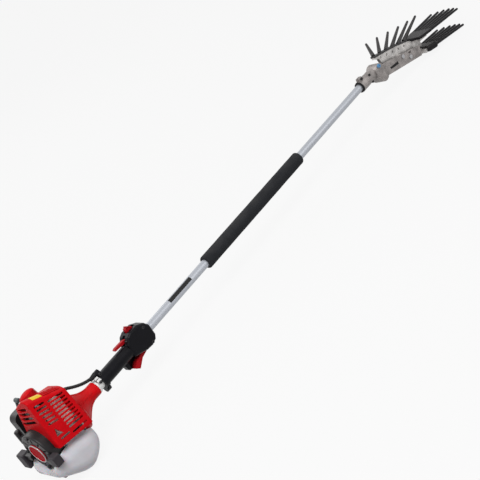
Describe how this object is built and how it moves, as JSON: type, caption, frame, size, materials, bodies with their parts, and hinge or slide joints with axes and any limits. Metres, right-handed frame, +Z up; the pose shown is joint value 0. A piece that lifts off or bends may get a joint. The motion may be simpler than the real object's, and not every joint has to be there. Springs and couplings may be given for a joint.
{
  "type": "motorised coffee harvester",
  "caption": "Petrol-driven coffee harvester: two-stroke engine, long tube with control handle and foam grip, and a geared head whose finger hands shake the branch.",
  "frame": {"origin": "middle of the underside of the tank's front skid, on the floor that the tool lies on", "axes": "+X along the tube from the engine to the head, +Y to the operator's left, +Z up"},
  "size_m": [2.2622, 0.206, 0.2773],
  "materials": {
    "cast_red": "gloss",
    "red_plastic": "gloss",
    "black_plastic": "satin",
    "dark_grey_plastic": "satin",
    "grey_plastic": "satin",
    "white_plastic": "satin, slightly translucent",
    "blue_plastic": "gloss",
    "rubber": "matt",
    "foam": "matt foam",
    "filter_foam": "open foam",
    "tube_aluminium": "satin",
    "cast_aluminium": "matt cast",
    "plate_aluminium": "satin",
    "steel": "machined",
    "dark_steel": "blackened",
    "sheet_steel": "heat tinted",
    "finger_plastic": "matt",
    "rope": "braided",
    "bronze": "plain"
  },
  "bodies": {
    "frame": {"fuel_tank": "white_plastic", "tank_feet": "rubber", "crankcase_front": "cast_aluminium", "crankcase_rear": "cast_aluminium", "ball_bearings": "steel", "crankshaft": "steel", "connecting_rod": "steel", "piston": "cast_aluminium", "cylinder": "cast_aluminium", "spark_plug": "steel", "plug_boot": "rubber", "ignition_coil": "black_plastic", "fan_case": "cast_red", "engine_cover": "red_plastic", "plug_dome": "red_plastic", "muffler": "sheet_steel", "insulator": "black_plastic", "carburettor": "cast_aluminium", "air_cleaner_base": "black_plastic", "air_filter": "filter_foam", "air_cleaner_cover": "black_plastic", "starter_case": "black_plastic", "starter_badge": "red_plastic", "recoil_spring": "dark_steel", "guard_feet": "dark_grey_plastic", "case_screws": "steel", "tube_collar": "plate_aluminium", "clamp_screws": "dark_steel", "tube": "tube_aluminium", "shaft_bushes": "bronze", "foam_grip": "foam", "handle_left": "black_plastic", "handle_right": "black_plastic", "handle_pins": "steel", "throttle_conduit": "rubber", "gear_case_left": "cast_aluminium", "gear_case_right": "cast_aluminium", "socket_seal": "rubber", "grease_plug": "blue_plastic", "pivot_pins": "steel"},
    "fuel_cap": {"fuel_cap": "black_plastic"},
    "flywheel": {"flywheel": "cast_aluminium", "clutch_shoes": "dark_steel"},
    "drive_line": {"clutch_drum": "steel", "drive_shaft": "steel", "pinion": "steel"},
    "cam_shaft": {"cam_shaft": "steel"},
    "starter_pulley": {"starter_pulley": "grey_plastic"},
    "starter_pull": {"starter_rope": "rope", "starter_handle": "black_plastic"},
    "primer_bulb": {"primer_bulb": "rubber"},
    "choke_lever": {"choke_lever": "grey_plastic"},
    "throttle_trigger": {"throttle_trigger": "red_plastic"},
    "lockout_lever": {"lockout_lever": "red_plastic"},
    "stop_switch": {"stop_switch": "red_plastic"},
    "upper_jaw": {"upper_arm": "plate_aluminium", "comb": "finger_plastic", "upper_hand": "finger_plastic"},
    "lower_jaw": {"lower_arm": "plate_aluminium", "lower_hand": "finger_plastic"}
  },
  "joints": [
    {"name": "fuel_cap_lift", "type": "slide", "parent": "frame", "child": "fuel_cap", "axis": [0, 1, 0], "range_m": [0, 0.04]},
    {"name": "flywheel_spin", "type": "hinge", "parent": "frame", "child": "flywheel", "pos_m": [0, 0, 0.123], "axis": [1, 0, 0], "continuous": true},
    {"name": "drive_spin", "type": "hinge", "parent": "frame", "child": "drive_line", "pos_m": [0, 0, 0.123], "axis": [1, 0, 0], "continuous": true},
    {"name": "cam_spin", "type": "hinge", "parent": "frame", "child": "cam_shaft", "pos_m": [1.678, 0, 0.123], "axis": [0, 1, 0], "continuous": true},
    {"name": "starter_pull", "type": "slide", "parent": "frame", "child": "starter_pull", "axis": [0, 1, 0], "range_m": [0, 0.08], "stiffness_N_per_m": 20},
    {"name": "starter_turn", "type": "hinge", "parent": "frame", "child": "starter_pulley", "pos_m": [0, 0, 0.123], "axis": [1, 0, 0], "range_deg": [-160, 5]},
    {"name": "primer_press", "type": "slide", "parent": "frame", "child": "primer_bulb", "axis": [0, 0, 1], "range_m": [0, 0.004], "stiffness_N_per_m": 800},
    {"name": "choke_turn", "type": "hinge", "parent": "frame", "child": "choke_lever", "pos_m": [-0.024, 0, 0.193], "axis": [0, 1, 0], "range_deg": [0, 40]},
    {"name": "trigger_squeeze", "type": "hinge", "parent": "frame", "child": "throttle_trigger", "pos_m": [0.35, 0, 0.096], "axis": [0, 1, 0], "range_deg": [0, 14], "stiffness_Nm_per_rad": 0.6},
    {"name": "lockout_press", "type": "hinge", "parent": "frame", "child": "lockout_lever", "pos_m": [0.304, 0, 0.153], "axis": [0, -1, 0], "range_deg": [0, 7], "stiffness_Nm_per_rad": 0.6},
    {"name": "stop_slide", "type": "slide", "parent": "frame", "child": "stop_switch", "axis": [1, 0, 0], "range_m": [0, 0.006]},
    {"name": "upper_open", "type": "hinge", "parent": "frame", "child": "upper_jaw", "pos_m": [1.81096, 0, 0.08848], "axis": [0, -1, 0], "range_deg": [0, 5]},
    {"name": "lower_open", "type": "hinge", "parent": "frame", "child": "lower_jaw", "pos_m": [1.84677, 0, 0.06468], "axis": [0, 1, 0], "range_deg": [0, 5]}
  ],
  "couplings": [
    {"joint": "cam_spin", "follows": "drive_spin", "ratio": 0.5},
    {"joint": "starter_turn", "follows": "starter_pull", "rad_per_m": -33.333},
    {"joint": "lower_open", "follows": "upper_open", "ratio": 1}
  ]
}
